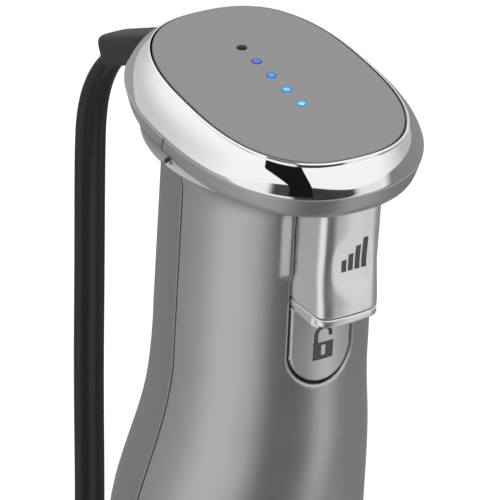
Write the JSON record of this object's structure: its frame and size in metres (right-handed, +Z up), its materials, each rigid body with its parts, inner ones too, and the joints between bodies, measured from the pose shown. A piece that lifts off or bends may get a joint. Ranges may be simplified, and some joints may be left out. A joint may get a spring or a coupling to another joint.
{
  "type": "immersion hand blender",
  "caption": "Corded immersion hand blender standing on its bell guard, with an oblong light-up cap, squeeze trigger, unlock button, detachable steel shaft and flat mains cord.",
  "frame": {"origin": "on the floor, straight below the middle of the oblong cap; the motor axis is 8.6 mm behind it", "axes": "+Z up along the body, -Y towards the trigger, +X to the right seen from the trigger side"},
  "size_m": [0.1105, 0.2233, 0.4],
  "materials": {
    "grip_silver": "satin silver lacquer",
    "chrome": "polished",
    "plate_grey": "fine grain",
    "trigger_silver": "semi-gloss silver",
    "clear_blue": "glossy",
    "board_green": "solder mask",
    "black_plastic": "moulded",
    "light_plastic": "moulded",
    "aluminium": "cast",
    "steel": "stainless",
    "spring_steel": "drawn wire",
    "lamination": "stacked sheet",
    "copper": "enamelled wire",
    "carbon": "pressed carbon",
    "rubber": "soft",
    "cord_black": "smooth sheath",
    "brass": "turned"
  },
  "bodies": {
    "motor_body": {"front_shell": "grip_silver", "rear_shell": "grip_silver", "base_ring": "black_plastic", "chrome_ring": "chrome", "top_plate": "plate_grey", "ring_screws": "steel", "light_pipe": "clear_blue", "led_board": "board_green", "leds": "clear_blue", "control_board": "board_green", "board_capacitor": "black_plastic", "heat_sink": "aluminium", "speed_sensor": "black_plastic", "enable_switch": "black_plastic", "trigger_pin": "steel", "trigger_spring": "spring_steel", "lock_spring": "spring_steel", "release_spring_left": "spring_steel", "release_spring_right": "spring_steel", "stator_core": "lamination", "field_coils": "copper", "upper_bracket": "aluminium", "lower_bracket": "aluminium", "upper_bearing": "steel", "lower_bearing": "steel", "brush_holders": "brass", "carbon_brushes": "carbon", "brush_springs": "spring_steel", "motor_mounts": "rubber", "motor_screws": "steel", "base_screws": "steel", "cord_boot": "rubber", "cord_clamp": "black_plastic", "power_cord": "cord_black", "cord_coil": "cord_black", "cord_tie": "black_plastic", "plug_lead": "cord_black", "plug_body": "cord_black", "plug_blades": "brass"},
    "trigger": {"trigger_cover": "trigger_silver", "trigger_carrier": "trigger_silver"},
    "speed_slider": {"speed_slider": "light_plastic"},
    "lock_button": {"lock_button": "grip_silver"},
    "release_button_left": {"release_button_left": "black_plastic"},
    "release_button_right": {"release_button_right": "black_plastic"},
    "rotor": {"rotor_core": "lamination", "rotor_windings": "copper", "commutator": "brass", "motor_shaft": "steel", "cooling_fan": "light_plastic", "drive_coupler": "black_plastic"},
    "blending_shaft": {"shaft_collar": "black_plastic", "shaft_tube": "steel", "bell_guard": "steel", "shaft_bushings": "brass", "shaft_seal": "rubber"},
    "blade_spindle": {"drive_shaft": "steel", "driven_coupler": "black_plastic", "blade": "steel", "blade_nut": "steel"}
  },
  "joints": [
    {"name": "trigger_squeeze", "type": "hinge", "parent": "motor_body", "child": "trigger", "pos_m": [0, -0.02, 0.379], "axis": [1, 0, 0], "range_deg": [0, 8], "stiffness_Nm_per_rad": 0.6, "springref_deg": -8.59},
    {"name": "speed_slide", "type": "slide", "parent": "motor_body", "child": "speed_slider", "axis": [0, 1, 0], "range_m": [0, 0.0023], "deforming": ["trigger_spring"]},
    {"name": "lock_press", "type": "slide", "parent": "motor_body", "child": "lock_button", "axis": [0, 1, 0], "range_m": [0, 0.0022], "stiffness_N_per_m": 400, "springref_m": -0.002, "deforming": ["lock_spring"]},
    {"name": "release_left_press", "type": "slide", "parent": "motor_body", "child": "release_button_left", "axis": [1, 0, 0], "range_m": [0, 0.002], "stiffness_N_per_m": 600, "springref_m": -0.0015, "deforming": ["release_spring_left"]},
    {"name": "release_right_press", "type": "slide", "parent": "motor_body", "child": "release_button_right", "axis": [-1, 0, 0], "range_m": [0, 0.002], "stiffness_N_per_m": 600, "springref_m": -0.0015, "deforming": ["release_spring_right"]},
    {"name": "rotor_spin", "type": "hinge", "parent": "motor_body", "child": "rotor", "pos_m": [0, 0.0086, 0.25], "axis": [0, 0, 1], "continuous": true},
    {"name": "shaft_release", "type": "slide", "parent": "motor_body", "child": "blending_shaft", "axis": [0, 0, -1], "range_m": [0, 0.04]},
    {"name": "blade_spin", "type": "hinge", "parent": "blending_shaft", "child": "blade_spindle", "pos_m": [0, 0.0086, 0.1], "axis": [0, 0, 1], "continuous": true}
  ],
  "couplings": [
    {"joint": "speed_slide", "follows": "trigger_squeeze", "m_per_rad": 0.016},
    {"joint": "blade_spin", "follows": "rotor_spin", "ratio": 1}
  ]
}
